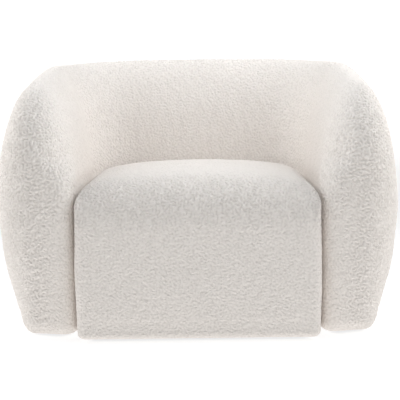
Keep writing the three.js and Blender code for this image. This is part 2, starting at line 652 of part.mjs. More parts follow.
// Seat upholstery: an insulator over the springs, pads round the box, a thick top and the cover.
function addSeatUpholstery() {
  const sheet = polygon([
    [-SEAT_PANEL_X, SEAT_PANEL_FRONT], [SEAT_PANEL_X, SEAT_PANEL_FRONT], [SEAT_PANEL_X, SEAT_PANEL_CUT_Y],
    [SEAT_PANEL_CUT_X, SEAT_PANEL_REAR], [-SEAT_PANEL_CUT_X, SEAT_PANEL_REAR], [-SEAT_PANEL_X, SEAT_PANEL_CUT_Y]]);
  add('seat_insulator', slab(sheet, PAD_TOP - INSULATOR_T, PAD_TOP), felt);
  const filling = seatSolid(FOAM_INSET, false);
  const sides = SEAT_PANEL_X + PAD_AIR;
  const frontY = SEAT_PANEL_FRONT - PAD_AIR;
  const lower = filling.intersect(box(-FAR, FAR, -FAR, FAR, 0, PAD_TOP));
  add('seat_foam', filling.intersect(box(-FAR, FAR, -FAR, FAR, PAD_TOP + FIT, FAR)), foam);
  add('seat_front_pad', lower.intersect(box(-FAR, FAR, -FAR, frontY, 0, FAR)), foam);
  const rearY = SEAT_PANEL_REAR + PAD_AIR;
  const sidePad = polygon([
    [sides, frontY + FIT], [FAR, frontY + FIT], [FAR, rearY - FIT], [SEAT_PANEL_CUT_X + 2 * PAD_AIR, rearY - FIT],
    [sides, SEAT_PANEL_CUT_Y + 2 * PAD_AIR]]);
  addPair('seat_side_pad', lower.intersect(slab(sidePad, 0, FAR)), foam);
  add('seat_rear_pad', lower.intersect(box(-FAR, FAR, rearY, FAR, 0, FAR)), foam);
  add('seat_cover', seatSolid(0, false).subtract(seatSolid(COVER_T, true)), boucle);
}

function addTubUpholstery() {
  addPair('arm_foam', armFoam(), foam);
  add('back_foam', backFoam(), foam);
  addPair('arm_cover', armCover(), boucle);
  const backSkin = backCoverWhole();
  add('back_cover', backSkin.subtract(outsideBelow(SEAM_Z + FIT)), boucle);
  add('outside_back_cover', backSkin.intersect(outsideBelow(SEAM_Z)), boucle);
}

// Black cloth that closes the underside, one sheet for the tub and one for the seat.
function addDustCloths() {
  const flat = (turn, height) => {
    const reach = tubColumn(turn, height, FOAM_INSET)[0][0];
    return [[reach, DUST_Z], [reach, DUST_Z + DUST_T], [0, DUST_Z + DUST_T]];
  };
  const right = armStations(0).slice(1);
  const all = [...[...right].reverse(), ...backStations(0), ...right.map(mirrorStation)];
  const tubHoles = bothSides(stemHole(frontGlide)).add(bothSides(stemHole(rearGlide)))
    .add(bothSides(screwHole(armScrew)));
  add('tub_dust_cloth', tubSolid(all, flat).subtract(tubHoles), dustCloth);
  const edge = FOAM_INSET + SEAT_HEM_R;
  const outline = seatLoop(SEAT_HALF - edge, SEAT_FRONT + edge, SEAT_REAR - edge, DUST_CORNER_R,
    SEAT_CORNER_REAR - edge);
  const seatHoles = bothSides(stemHole(seatGlide)).add(bothSides(screwHole(seatScrew)));
  add('seat_dust_cloth', slab(polygon(outline), DUST_Z, DUST_Z + DUST_T).subtract(seatHoles), dustCloth);
}

// Glides: domed nylon feet on short stems.
const GLIDE_SIDES = 10;
function addGlides() {
  const top = DUST_Z - FIT;
  const profile = [
    [0, 0], [GLIDE_R - GLIDE_DOME, 0], [GLIDE_R, GLIDE_DOME], [GLIDE_R, top - GLIDE_EDGE],
    [GLIDE_R - GLIDE_EDGE, top], [GLIDE_STEM_R, top], [GLIDE_STEM_R, GLIDE_STEM_TOP], [0, GLIDE_STEM_TOP]];
  addPair('front_glide', turned(...frontGlide, profile, GLIDE_SIDES), nylon);
  addPair('rear_glide', turned(...rearGlide, profile, GLIDE_SIDES), nylon);
  addPair('seat_glide', turned(...seatGlide, profile, GLIDE_SIDES), nylon);
}

// Flat steel plates that hold the seat block between the arms, screwed up into both.
const SCREW_SIDES = 8;
function addJoiningPlates() {
  const plate = box(seatScrew[0] - PLATE_END, armScrew[0] + PLATE_END, PLATE_Y - PLATE_END,
    PLATE_Y + PLATE_END, PLATE_Z, PLATE_Z + PLATE_T);
  addPair('joining_plate', plate.subtract(screwHole(armScrew)).subtract(screwHole(seatScrew)), zincSteel);
  const headTop = PLATE_Z - FIT;
  const screw = [
    [0, headTop - HEAD_H], [HEAD_FLAT_R, headTop - HEAD_H], [HEAD_R, headTop - HEAD_SIDE_H], [HEAD_R, headTop],
    [SCREW_R, headTop], [SCREW_R, SCREW_TOP - SCREW_TIP], [0, SCREW_TOP]];
  addPair('arm_plate_screw', turned(...armScrew, screw, SCREW_SIDES), zincSteel);
  addPair('seat_plate_screw', turned(...seatScrew, screw, SCREW_SIDES), zincSteel);
}

addArmTimber();
addCornerPlates();
addBackTimber();
addSeatTimber();
SPRING_X.forEach((x, i) => add(`seat_spring_${i + 1}`, spring(x), springSteel));
addSeatUpholstery();
addTubUpholstery();
addDustCloths();
addGlides();
addJoiningPlates();

export default chair;
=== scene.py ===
"""An ivory boucle tub armchair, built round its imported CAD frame.

Lengths are metres, +Z is up, the front faces -Y.
"""
import math

import bpy
import numpy as np
from mathutils import Matrix, Vector


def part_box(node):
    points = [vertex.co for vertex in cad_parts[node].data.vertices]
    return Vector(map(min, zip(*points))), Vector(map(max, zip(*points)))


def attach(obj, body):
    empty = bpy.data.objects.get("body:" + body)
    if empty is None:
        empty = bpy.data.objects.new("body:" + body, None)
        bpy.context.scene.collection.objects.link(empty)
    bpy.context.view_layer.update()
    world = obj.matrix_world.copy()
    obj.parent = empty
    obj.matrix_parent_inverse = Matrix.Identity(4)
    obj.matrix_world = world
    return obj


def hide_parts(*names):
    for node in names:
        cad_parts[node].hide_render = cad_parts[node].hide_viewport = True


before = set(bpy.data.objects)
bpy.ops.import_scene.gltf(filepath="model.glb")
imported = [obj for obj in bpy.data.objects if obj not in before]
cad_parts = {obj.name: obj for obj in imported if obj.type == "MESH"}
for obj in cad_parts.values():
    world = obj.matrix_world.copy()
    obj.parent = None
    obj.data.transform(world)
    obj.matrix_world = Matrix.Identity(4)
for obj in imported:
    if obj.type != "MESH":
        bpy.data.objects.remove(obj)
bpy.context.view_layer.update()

# ------------------------------------------------------------------ camera
CAMERA_AT = (0.0248, -3.274, 0.659)
CAMERA_PITCH = 6.01           # degrees below the horizon
CAMERA_YAW = 0.364
CAMERA_ROLL = -0.782
CAMERA_LENS = 105.0


def make_camera():
    camera = bpy.data.objects.new("camera", bpy.data.cameras.new("camera"))
    bpy.context.scene.collection.objects.link(camera)
    camera.data.lens = CAMERA_LENS
    camera.location = CAMERA_AT
    turn = (Matrix.Rotation(math.radians(CAMERA_YAW), 4, "Z")
            @ Matrix.Rotation(math.radians(90 - CAMERA_PITCH), 4, "X")
            @ Matrix.Rotation(math.radians(CAMERA_ROLL), 4, "Z"))
    camera.rotation_mode = "QUATERNION"
    camera.rotation_quaternion = turn.to_quaternion()
    bpy.context.scene.camera = camera


make_camera()

# ------------------------------------------------------------------ driving dimensions
FLOOR_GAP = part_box("seat_cover")[0].z
# Tub
ARM_X = 0.412                 # arm centreline from the middle plane
NOSE_Y = -0.252               # upright axis that the front of an arm turns about
BACK_Y = 0.320                # centreline of the back
CORNER_R = 0.230              # centreline radius of the rear corners
OUT_REACH, IN_REACH, NOSE_REACH = 0.101, 0.100, 0.150       # section reach at its widest
OUT_WIDE_Z, IN_WIDE_Z, NOSE_WIDE_Z = 0.322, 0.342, 0.400    # heights of the widest places
OUT_FOOT, IN_FOOT, NOSE_FOOT = 0.051, 0.097, 0.120          # section reach just above the hem
OUT_HEM_W, IN_HEM_W, NOSE_HEM_W = 0.044, 0.006, 0.050       # rounding along the bottom edge
OUT_HEM_H, IN_HEM_H, NOSE_HEM_H = 0.048, 0.008, 0.050
BACK_H, NOSE_H = 0.711, 0.645
RIDGE_RUN = 0.790             # length over which the top rises from the nose to the back
SQUARE_LOW_Z, SQUARE_HIGH_Z = 0.340, 0.470
ROUND, SQUARE, SQUARE_FOOT = 2.0, 5.5, 8.0
SPREAD = 0.005                # how far the arms and back spread to the seat block below its top
SEAM_Z = 0.610                # seam of the outside back panel
# Seat block
SEAT_HALF, SEAT_FRONT, SEAT_REAR = 0.304, -0.419, 0.211
SEAT_TOP, SEAT_CROWN = 0.397, 0.024
SEAT_CROWN_Y, SEAT_CROWN_REACH = -0.065, 0.400
SEAT_FRONT_R, SEAT_SIDE_R, SEAT_REAR_R = 0.115, 0.058, 0.050
SEAT_CORNER_FRONT, SEAT_CORNER_REAR = 0.020, 0.130
SEAT_CORNER_OPENS = 0.050     # growth of the front plan radii over the roll
SEAT_BULGE, SEAT_HEM_R = 0.004, 0.016
# Cloth
TURN_UNDER = 0.014            # cloth turned in under the bottom edge
FINE = 0.0024                 # edge length of the finished surface
HIDDEN = 2.4                  # how much coarser it is where the seat and the tub hide each other
QUARTER = math.pi / 2


def smooth(low, high, value):
    t = np.clip((value - low) / (high - low), 0, 1)
    return t * t * (3 - 2 * t)


# ------------------------------------------------------------------ the tub's shape
STRAIGHT = (BACK_Y - CORNER_R) - NOSE_Y
TO_MITRE = STRAIGHT + CORNER_R * math.pi / 4
WHOLE_RUN = 2 * STRAIGHT + CORNER_R * math.pi + 2 * (ARM_X - CORNER_R)
RIDGE_SLOPE = 2 * (BACK_H - NOSE_H) / RIDGE_RUN
UNDER, HEM, LOW, HIGH, TOP = -1, 0, 1, 2, 3     # zones of a surface, from the bottom up


def centreline(run):
    """Points and outward directions along the U, from the left arm's nose axis to the right one's."""
    side = np.where(run <= WHOLE_RUN / 2, -1.0, 1.0)
    s = np.minimum(run, WHOLE_RUN - run)
    angle = np.clip((s - STRAIGHT) / CORNER_R, 0, QUARTER)
    past = np.clip(s - STRAIGHT - CORNER_R * QUARTER, 0, None)
    x = ARM_X - CORNER_R + CORNER_R * np.cos(angle) - past
    y = np.where(s < STRAIGHT, NOSE_Y + s, BACK_Y - CORNER_R + CORNER_R * np.sin(angle))
    return side * x, y, side * np.cos(angle), np.sin(angle), s


def ridge_height(s):
    return BACK_H - (BACK_H - NOSE_H) * (1 - np.clip(s / RIDGE_RUN, 0, 1)) ** 2


def plan_reach(side, front, turn, power):
    c, s = np.abs(np.cos(turn)), np.abs(np.sin(turn))
    return ((c / side) ** power + (s / front) ** power) ** (-1 / power)


def section(turn, height, zone, level):
    """Reach and height of the tub's surface. The turn is 0 outside, pi/2 at the nose and pi inside."""
    outside = np.cos(turn) > 0
    inner = (1 - np.cos(turn)) / 2
    front = np.sin(turn) ** 2

    def towards_nose(out_value, in_value, nose_value):
        sideways = np.where(outside, out_value, in_value)
        return sideways + (nose_value - sideways) * front

    side_wide = OUT_WIDE_Z + (IN_WIDE_Z - OUT_WIDE_Z) * inner
    wide_z = side_wide + (NOSE_WIDE_Z - side_wide) * front
    foot = plan_reach(np.where(outside, OUT_FOOT, IN_FOOT + SPREAD), NOSE_FOOT, turn,
                      np.where(outside, ROUND, SQUARE_FOOT))
    hem_w = towards_nose(OUT_HEM_W, IN_HEM_W, NOSE_HEM_W)
    hem_h = towards_nose(OUT_HEM_H, IN_HEM_H, NOSE_HEM_H)
    hem_top = FLOOR_GAP + hem_h

    def wide(z):
        above_seat = smooth(SQUARE_LOW_Z, SQUARE_HIGH_Z, z)
        rounding = SQUARE + (ROUND - SQUARE) * above_seat
        side = np.where(outside, OUT_REACH, IN_REACH + SPREAD * (1 - above_seat))
        return plan_reach(side, NOSE_REACH, turn, np.where(outside, ROUND, rounding))

    if zone == UNDER:
        return foot - hem_w - TURN_UNDER * (1 - level), FLOOR_GAP + 0 * turn
    if zone == HEM:
        a = level * QUARTER
        return foot - hem_w + hem_w * np.sin(a), hem_top - hem_h * np.cos(a)
    if zone == LOW:
        z = hem_top + (wide_z - hem_top) * level
        return wide(z) - (wide(z) - foot) * (1 - level) ** 2, z
    a = level * QUARTER
    z = wide_z + (height - wide_z) * math.sin(a)
    reach = wide(z) * math.cos(a)
    return reach, z - RIDGE_SLOPE * reach * np.sin(turn) * math.sin(a) ** 2


# Parts of a row, anticlockwise as seen from above: run at the start and end, turn at the start and end.
TO_RIGHT = WHOLE_RUN - TO_MITRE
TUB_PARTS = {
    "back_out": (TO_RIGHT, TO_MITRE, 0.0, 0.0),
    "left_out": (TO_MITRE, 0.0, 0.0, 0.0),
    "left_nose": (0.0, 0.0, 0.0, math.pi),
    "left_in": (0.0, TO_MITRE, math.pi, math.pi),
    "back_in": (TO_MITRE, TO_RIGHT, math.pi, math.pi),
    "right_in": (TO_RIGHT, WHOLE_RUN, math.pi, math.pi),
    "right_nose": (WHOLE_RUN, WHOLE_RUN, math.pi, 0.0),
    "right_out": (WHOLE_RUN, TO_RIGHT, 0.0, 0.0),
}


def tub_place(part, zone, level, t):
    run0, run1, turn0, turn1 = TUB_PARTS[part]
    turn = turn0 + (turn1 - turn0) * t
    x, y, out_x, out_y, s = centreline(run0 + (run1 - run0) * t)
    reach, z = section(turn, ridge_height(s), zone, level)
    c, f = np.cos(turn), np.sin(turn)
    return np.stack([x + out_x * c * reach, y + (out_y * c - f) * reach, z], axis=1)


def levels(length, step, least):
    cuts = max(least, int(round(length / step)))
    return np.arange(cuts) / cuts


def tub_rows(step):
    """(zone, level) of each row, from the cloth turned under up to the last one below the ridge."""
    rows = [(UNDER, v) for v in levels(TURN_UNDER, step, 1)]
    rows += [(HEM, v) for v in levels((OUT_HEM_W + OUT_HEM_H) * 0.8, step, 3)]
    rows += [(LOW, v) for v in levels(NOSE_WIDE_Z - NOSE_HEM_H, step, 3)]
    angle = np.linspace(0, 1, 200)
    arc = np.stack([OUT_REACH * np.cos(angle * QUARTER),
                    (BACK_H - OUT_WIDE_Z) * np.sin(angle * QUARTER)], axis=1)
    along = travelled(arc)
    rows += [(HIGH, v) for v in np.interp(levels(along[-1], step, 8) * along[-1], along, angle)]
    return rows


def travelled(points):
    return np.concatenate([[0], np.cumsum(np.linalg.norm(np.diff(points, axis=0), axis=1))])


# ------------------------------------------------------------------ the seat's shape
def seat_outline(half, front, rear, corner_front, corner_rear, part, t):
    """x, y, normal and kind (0 front, 1 side, 2 rear) on one of the eight parts of a rounded rectangle."""
    hf, hr = half - corner_front, half - corner_rear
    yf, yr = front + corner_front, rear - corner_rear
    lines = {"front": (-hf, front, hf, front, 0, -1, 0), "right": (half, yf, half, yr, 1, 0, 1),
             "rear": (hr, rear, -hr, rear, 0, 1, 2), "left": (-half, yr, -half, yf, -1, 0, 1)}
    if part in lines:
        x0, y0, x1, y1, nx, ny, kind = lines[part]
        return x0 + (x1 - x0) * t, y0 + (y1 - y0) * t, nx + 0 * t, ny + 0 * t, kind + 0 * t
    x, y, r, quarter, kind0, kind1 = {
        "front_right": (hf, yf, corner_front, -1, 0, 1), "rear_right": (hr, yr, corner_rear, 0, 1, 2),
        "rear_left": (-hr, yr, corner_rear, 1, 2, 1), "front_left": (-hf, yf, corner_front, 2, 1, 0)}[part]
    a = (quarter + t) * QUARTER
    return x + r * np.cos(a), y + r * np.sin(a), np.cos(a), np.sin(a), kind0 + (kind1 - kind0) * t


SEAT_PARTS = ("front", "front_right", "right", "rear_right", "rear", "rear_left", "left", "front_left")


def seat_crown(x, y):
    along = (y - SEAT_CROWN_Y) / SEAT_CROWN_REACH
    return SEAT_CROWN * (1 - (x / SEAT_HALF) ** 2) * (1 - along ** 2 / 2)


def edge_radius(kind):
    front = SEAT_FRONT_R + (SEAT_SIDE_R - SEAT_FRONT_R) * smooth(0, 1, kind)
    rear = SEAT_SIDE_R + (SEAT_REAR_R - SEAT_SIDE_R) * (kind - 1)
    return np.where(kind <= 1, front, rear)


def seat_place(part, zone, level, t):
    """Points of the hem, the wall, the roll over the edge, or the top, which closes in on its middle."""
    if zone <= LOW:
        x, y, nx, ny, kind = seat_outline(
            SEAT_HALF, SEAT_FRONT, SEAT_REAR, SEAT_CORNER_FRONT, SEAT_CORNER_REAR, part, t)
        hem_top = FLOOR_GAP + SEAT_HEM_R
        if zone == LOW:
            out = SEAT_BULGE * math.sin(math.pi * level)
            z = hem_top + (SEAT_TOP - edge_radius(kind) - hem_top) * level
        elif zone == HEM:
            out = SEAT_HEM_R * (math.sin(level * QUARTER) - 1)
            z = hem_top - SEAT_HEM_R * math.cos(level * QUARTER) + 0 * x
        else:
            out = -SEAT_HEM_R - TURN_UNDER * (1 - level)
            z = FLOOR_GAP + 0 * x
        return np.stack([x + nx * out, y + ny * out * (0.5 if zone == LOW else 1.0), z], axis=1)
    a = level * QUARTER if zone == HIGH else QUARTER
    pull = 1 - math.cos(a)
    x, y, _, _, kind = seat_outline(
        SEAT_HALF - SEAT_SIDE_R * pull, SEAT_FRONT + SEAT_FRONT_R * pull, SEAT_REAR - SEAT_REAR_R * pull,
        SEAT_CORNER_FRONT + SEAT_CORNER_OPENS * pull, SEAT_CORNER_REAR, part, t)
    if zone == HIGH:
        radius = edge_radius(kind)
        return np.stack([x, y, SEAT_TOP - radius + (radius + seat_crown(x, y)) * math.sin(a)], axis=1)
    middle = (SEAT_FRONT + SEAT_FRONT_R + SEAT_REAR - SEAT_REAR_R) / 2
    x, y = x * (1 - level), middle + (y - middle) * (1 - level)
    return np.stack([x, y, SEAT_TOP + seat_crown(x, y)], axis=1)


def seat_rows(step):
    rows = [(UNDER, v) for v in levels(TURN_UNDER, step, 1)]
    rows += [(HEM, v) for v in levels(SEAT_HEM_R * QUARTER, step, 2)]
    rows += [(LOW, v) for v in levels(SEAT_TOP - SEAT_SIDE_R - FLOOR_GAP - SEAT_HEM_R, step, 3)]
    rows += [(HIGH, v) for v in levels(SEAT_FRONT_R * 1.75, step, 3)]
    rows += [(TOP, v) for v in levels(SEAT_HALF * 0.8, step, 3)]
    return rows


# ------------------------------------------------------------------ cloth simulation
CLOTH_STEP = 0.016            # spacing of the simulated cloth
STARTS_INSIDE = 0.004         # it starts this far inside the drawn shape and swells
MOVE_CAP = 0.006              # the furthest that a point may move
STUFFING_GIVE = 0.0010        # how softly the stuffing stops it from falling inside the drawn shape
PRESSURE = 4.0
FRAMES = 20
# Heights over the bottom edge: the cloth is held below the first one and free above the second.
TUB_HELD, TUB_LOOSE = 0.010, 0.080
SEAT_HELD, SEAT_LOOSE = 0.004, 0.060
# The seat presses on the tub's cloth this far inside the centreline, and up to about its own edge.
PRESSED_X, PRESSED_Y = 0.05, 0.02
PRESSED_BELOW, PRESSED_ABOVE = 0.060, 0.040
# The arms and the back press on a strip along the seat's edge, which ends between these distances.
STRIP_FAR, STRIP_NEAR = 0.050, 0.006
STRIP_HOLD = 0.85


def row_place(zone, level):
    """A row's place on one scale that grows from the bottom up."""
    return zone + level


class Stuffing:
    """How far the stuffed cloth stands from the drawn shape, found by simulating a coarse copy of it."""

    def __init__(self, name, place, columns, rows, free):
        self.rows = np.array([row_place(*row) for row in rows])
        self.columns = columns
        shape = {}
        for part, n in columns.items():
            t = np.linspace(0, 1, n + 1)
            shape[part] = np.stack([place(part, zone, level, t) for zone, level in rows])
        flat = np.concatenate([grid.reshape(-1, 3) for grid in shape.values()])
        _, first, weld = np.unique(np.round(flat, 5), axis=0, return_index=True, return_inverse=True)
        weld = weld.ravel()
        quads, start = [], 0
        for grid in shape.values():
            index = weld[start:start + grid.shape[0] * grid.shape[1]].reshape(grid.shape[:2])
            start += index.size
            corners = [index[:-1, :-1], index[:-1, 1:], index[1:, 1:], index[1:, :-1]]
            quads.append(np.stack(corners, -1).reshape(-1, 4))
        moved = simulate(name, flat[first], np.concatenate(quads), free)[weld]
        self.moved, start = {}, 0
        for part, grid in shape.items():
            self.moved[part] = moved[start:start + grid.shape[0] * grid.shape[1]].reshape(grid.shape)
            start += grid.shape[0] * grid.shape[1]

    def at(self, part, zone, level, t):
        grid = self.moved[part]
        r = np.interp(row_place(zone, level), self.rows, np.arange(len(self.rows)))
        r0 = min(int(r), len(self.rows) - 2)
        row = grid[r0] * (1 - (r - r0)) + grid[r0 + 1] * (r - r0)
        c = np.clip(t, 0, 1) * self.columns[part]
        c0 = np.minimum(c.astype(int), self.columns[part] - 1)
        f = (c - c0)[:, None]
        return row[c0] * (1 - f) + row[c0 + 1] * f


def simulate(name, points, quads, free):
    """How far Blender's cloth ends up outside the drawn points after a light inner pressure.

    free gives 0 where the cloth is held and 1 where it may move.
    """
    faces = [list(dict.fromkeys(q)) for q in quads.tolist()]
    faces = [f for f in faces if len(f) > 2]
    mesh = bpy.data.meshes.new(name)
    mesh.from_pydata(points.tolist(), [], faces)
    mesh.update()
    normals = np.zeros(len(points) * 3)
    mesh.vertices.foreach_get("normal", normals)
    normals = normals.reshape(-1, 3)
    loose = free(points)
    inside = points - normals * (STARTS_INSIDE * loose)[:, None]
    mesh.vertices.foreach_set("co", inside.astype(np.float32).ravel())
    cloth_object = bpy.data.objects.new(name, mesh)
    bpy.context.scene.collection.objects.link(cloth_object)
    held = cloth_object.vertex_groups.new(name="held")
    for i, weight in enumerate(1 - loose):
        held.add([i], float(weight), "REPLACE")
    cloth = cloth_object.modifiers.new("cloth", "CLOTH")
    cloth.settings.use_pressure = True
    cloth.settings.uniform_pressure_force = PRESSURE
    cloth.settings.vertex_group_mass = "held"
    cloth.settings.effector_weights.gravity = 0
    cloth.point_cache.frame_end = FRAMES
    for number in range(1, FRAMES + 1):
        bpy.context.scene.frame_set(number)
    solved = cloth_object.evaluated_get(bpy.context.evaluated_depsgraph_get()).data
    settled = np.zeros(len(points) * 3)
    solved.vertices.foreach_get("co", settled)
    bpy.context.scene.frame_set(1)
    bpy.data.objects.remove(cloth_object)
    moved = settled.reshape(-1, 3) - inside
    far = np.linalg.norm(moved, axis=1, keepdims=True)
    moved *= np.minimum(1, MOVE_CAP / np.maximum(far, 1e-9))
    stands = ((inside + moved - points) * normals).sum(axis=1)
    stands = np.logaddexp(0, stands / STUFFING_GIVE) * STUFFING_GIVE
    return normals * (stands * loose)[:, None]


class Drawn:
    def at(self, part, zone, level, t):
        return 0.0


def tub_free(points):
    """The hem is held, and so is what the seat presses on."""
    x, y, z = points.T
    hem = smooth(FLOOR_GAP + TUB_HELD, FLOOR_GAP + TUB_LOOSE, z)
    beside_seat = (np.abs(x) < ARM_X - PRESSED_X) & (y < BACK_Y - PRESSED_Y)
    above_seat = smooth(SEAT_TOP - PRESSED_BELOW, SEAT_TOP + PRESSED_ABOVE, z)
    return hem * np.where(beside_seat, above_seat, 1.0)


def seat_free(points):
    x, y, z = points.T
    hem = smooth(FLOOR_GAP + SEAT_HELD, FLOOR_GAP + SEAT_LOOSE, z)
    beside_arm = smooth(SEAT_HALF - STRIP_FAR, SEAT_HALF - STRIP_NEAR, np.abs(x))
    before_back = smooth(SEAT_REAR - STRIP_FAR, SEAT_REAR - STRIP_NEAR, y)
    return hem * (1 - STRIP_HOLD * np.maximum(beside_arm, before_back))


def cut(length):
    return max(2, int(round(length / CLOTH_STEP)))


def stuffed_tub():
    arm, back, nose = cut(TO_MITRE), cut(TO_RIGHT - TO_MITRE), cut(math.pi * NOSE_REACH * 0.8)
    counts = {"out": arm, "in": arm, "nose": nose}
    columns = {part: back if part.startswith("back") else counts[part.split("_")[1]] for part in TUB_PARTS}
    return Stuffing("tub_stuffing", tub_place, columns, tub_rows(CLOTH_STEP) + [(HIGH, 1.0)], tub_free)


def stuffed_seat():
    width, depth = 2 * SEAT_HALF, SEAT_REAR - SEAT_FRONT
    lengths = {"front": width, "rear": width - 2 * SEAT_CORNER_REAR, "right": depth, "left": depth,
               "front_right": 0.08, "front_left": 0.08, "rear_right": 0.2, "rear_left": 0.2}
    columns = {part: cut(lengths[part]) for part in SEAT_PARTS}
    return Stuffing("seat_stuffing", seat_place, columns, seat_rows(CLOTH_STEP) + [(TOP, 1.0)], seat_free)


# ------------------------------------------------------------------ a surface woven from rows of points
class Rows:
    """Triangles between successive rows.

    Each row is cut into the same stretches, and each stretch has its own number of points in every
    row, so that the triangles stay about as long as they are wide.
    """

    def __init__(self, step):
        self.step = step
        self.points, self.count = [], 0
        self.triangles = {}
        self.below = None

    def add(self, points):
        self.points.append(points)
        self.count += len(points)
        return np.arange(self.count - len(points), self.count)

    def spaced(self, curve, coarse=1.0):
        """Places along a curve, a function of 0..1, that cut it into even lengths of about one step."""
        t = np.linspace(0, 1, 121)
        along = travelled(curve(t))
        cuts = max(1, int(round(along[-1] / (self.step * coarse))))
        return np.interp(np.linspace(0, along[-1], cuts + 1), along, t)

    def row(self, curves, coarse, names):
        """Adds a closed row and joins it to the one below. curves and coarse go by part."""
        stretches, first, last = {}, None, None
        for part, curve in curves.items():
            t = self.spaced(curve, coarse(part))
            p = curve(t)
            if first is None:
                index = self.add(p)
                first = index[0]
            elif len(stretches) == len(curves) - 1:
                index = np.concatenate([[last], self.add(p[1:-1]), [first]])
            else:
                index = np.concatenate([[last], self.add(p[1:])])
            last = index[-1]
            stretches[part] = (index, t)
        if self.below:
            for part in curves:
                self.weave(names(part), self.below[part], stretches[part])
        self.below = stretches

    def weave(self, name, low, high):
        """Triangles between two stretches, each given as (indices, places along the stretch)."""
        (a, ta), (b, tb) = low, high
        mid_a, mid_b = (ta[:-1] + ta[1:]) / 2, (tb[:-1] + tb[1:]) / 2
        on_b = np.searchsorted(mid_b, mid_a, side="left")
        on_a = np.searchsorted(mid_a, mid_b, side="right")
        self.triangles.setdefault(name, []).extend([
            np.stack([a[:-1], a[1:], b[on_b]], axis=1), np.stack([b[1:], b[:-1], a[on_a]], axis=1)])

    def arrays(self):
        return np.concatenate(self.points), {n: np.concatenate(t) for n, t in self.triangles.items()}


def tub_surface(stuffing):
    cloth = Rows(FINE)
    for zone, level in tub_rows(FINE):
        def curve(part):
            return lambda t: tub_place(part, zone, level, t) + stuffing.at(part, zone, level, t)
        curves = {part: curve(part) for part in TUB_PARTS}
        height = tub_place("back_out", zone, level, np.array([0.5]))[0, 2]
        hidden = zone <= LOW and level < 0.9

        def coarse(part):
            return HIDDEN if hidden and part.endswith("_in") else 1.0

        def names(part):
            return "back_over" if part == "back_out" and height > SEAM_Z else part
        cloth.row(curves, coarse, names)
    last = None
    ridges = {}
    for part in ("left_in", "back_in", "right_in"):
        def ridge(t):
            return tub_place(part, HIGH, 1.0, t) + stuffing.at(part, HIGH, 1.0, t)
        t = cloth.spaced(ridge)
        p = ridge(t)
        index = cloth.add(p) if last is None else np.concatenate([[last], cloth.add(p[1:])])
        last = index[-1]
        ridges[part.split("_")[0]] = (index, t)
    for part, low in cloth.below.items():
        side, where = part.split("_")
        index, t = ridges[side]
        if where == "nose":
            index, t = index[[0 if side == "left" else -1]], np.array([0.5])
        elif where == "out":
            index, t = index[::-1], 1 - t[::-1]
        cloth.weave("back_over" if part == "back_out" else part, low, (index, t))
    return cloth.arrays()


def seat_surface(stuffing):
    cloth = Rows(FINE)
    for zone, level in seat_rows(FINE):
        def curve(part):
            return lambda t: seat_place(part, zone, level, t) + stuffing.at(part, zone, level, t)

        def coarse(part):
            return HIDDEN if zone <= LOW and not part.startswith("front") else 1.0
        cloth.row({part: curve(part) for part in SEAT_PARTS}, coarse, lambda part: "seat")
    halfway = np.array([0.5])
    middle = seat_place("front", TOP, 1.0, halfway) + stuffing.at("front", TOP, 1.0, halfway)
    pole = cloth.add(middle)
    for low in cloth.below.values():
        cloth.weave("seat", low, (pole, halfway))
    return cloth.arrays()


# ------------------------------------------------------------------ boucle nap
NUB = 0.0072                  # spacing of the nubs
CLUMP = 0.0120                # spacing of the clumps that they gather in
FULL_NAP = 0.0031             # height of the nubs where nothing rubs them, as round the arms
SEAT_NAP = 0.0009             # on the seat block
LEAN_NAP = 0.0005             # where people lean
RUBBED_X, UNRUBBED_X = 0.33, 0.41    # from the middle plane, where rubbing starts to end and ends
RUBBED_Y = 0.06               # how far before the back's centreline it starts to end
BEND_LOW, BEND_HIGH = 1.3, 0.3       # the front bend, in radii below the seat's edge
BEND_FRONT, BEND_BACK = 0.04, 0.15   # and behind the seat's front
WAVES = 56
HEM_SHADE_DEPTH = 0.7                   # painted shade along the bottom edge, standing in for the shade under the rounded hem: how dark it is, and how far up it reaches
HEM_SHADE_REACH = 0.050
LUMP = 0.110                  # spacing and height of the unevenness of the stuffing
LUMP_HEIGHT = 0.0008


def ripples(points, spacing, seed):
    """Even-grained noise with a standard deviation of 1: plane waves of about one length, all ways."""
    random = np.random.default_rng(seed)
    heading = random.normal(size=(WAVES, 3))
    heading /= np.linalg.norm(heading, axis=1, keepdims=True)
    length = spacing * random.uniform(0.85, 1.15, WAVES)
    phase = random.uniform(0, 2 * math.pi, WAVES)
    total = np.zeros(len(points))
    for k in range(WAVES):
        total += np.cos(points @ (heading[k] * 2 * math.pi / length[k]) + phase[k])
    return total * math.sqrt(2 / WAVES)


def nub_height(points):
    """1 on the tips of the nubs, 0 at the bottom of the gaps between them."""
    return 0.5 + 0.5 * np.tanh(1.2 * ripples(points, NUB, 3) + 0.25 * ripples(points, CLUMP, 5))


def vertex_normals(points, triangles):
    a, b, c = (points[triangles[:, k]] for k in range(3))
    face = np.cross(b - a, c - a)
    normal = np.stack([sum(np.bincount(triangles[:, k], face[:, axis], len(points)) for k in range(3))
                       for axis in range(3)], axis=1)
    return normal / np.maximum(np.linalg.norm(normal, axis=1, keepdims=True), 1e-12)


def nap_height(points, rubbed):
    """Low where people sit and lean, full elsewhere and over the bend at the seat's front edge."""
    x, y, z = points.T
    inside = 1 - smooth(RUBBED_X, UNRUBBED_X, np.abs(x))
    inside *= 1 - smooth(BACK_Y - RUBBED_Y, BACK_Y, y)
    bend = smooth(SEAT_TOP - SEAT_FRONT_R * BEND_LOW, SEAT_TOP - SEAT_FRONT_R * BEND_HIGH, z)
    bend *= 1 - smooth(SEAT_FRONT + BEND_FRONT, SEAT_FRONT + BEND_BACK, y)
    return rubbed + (FULL_NAP - rubbed) * np.maximum(1 - inside, bend)


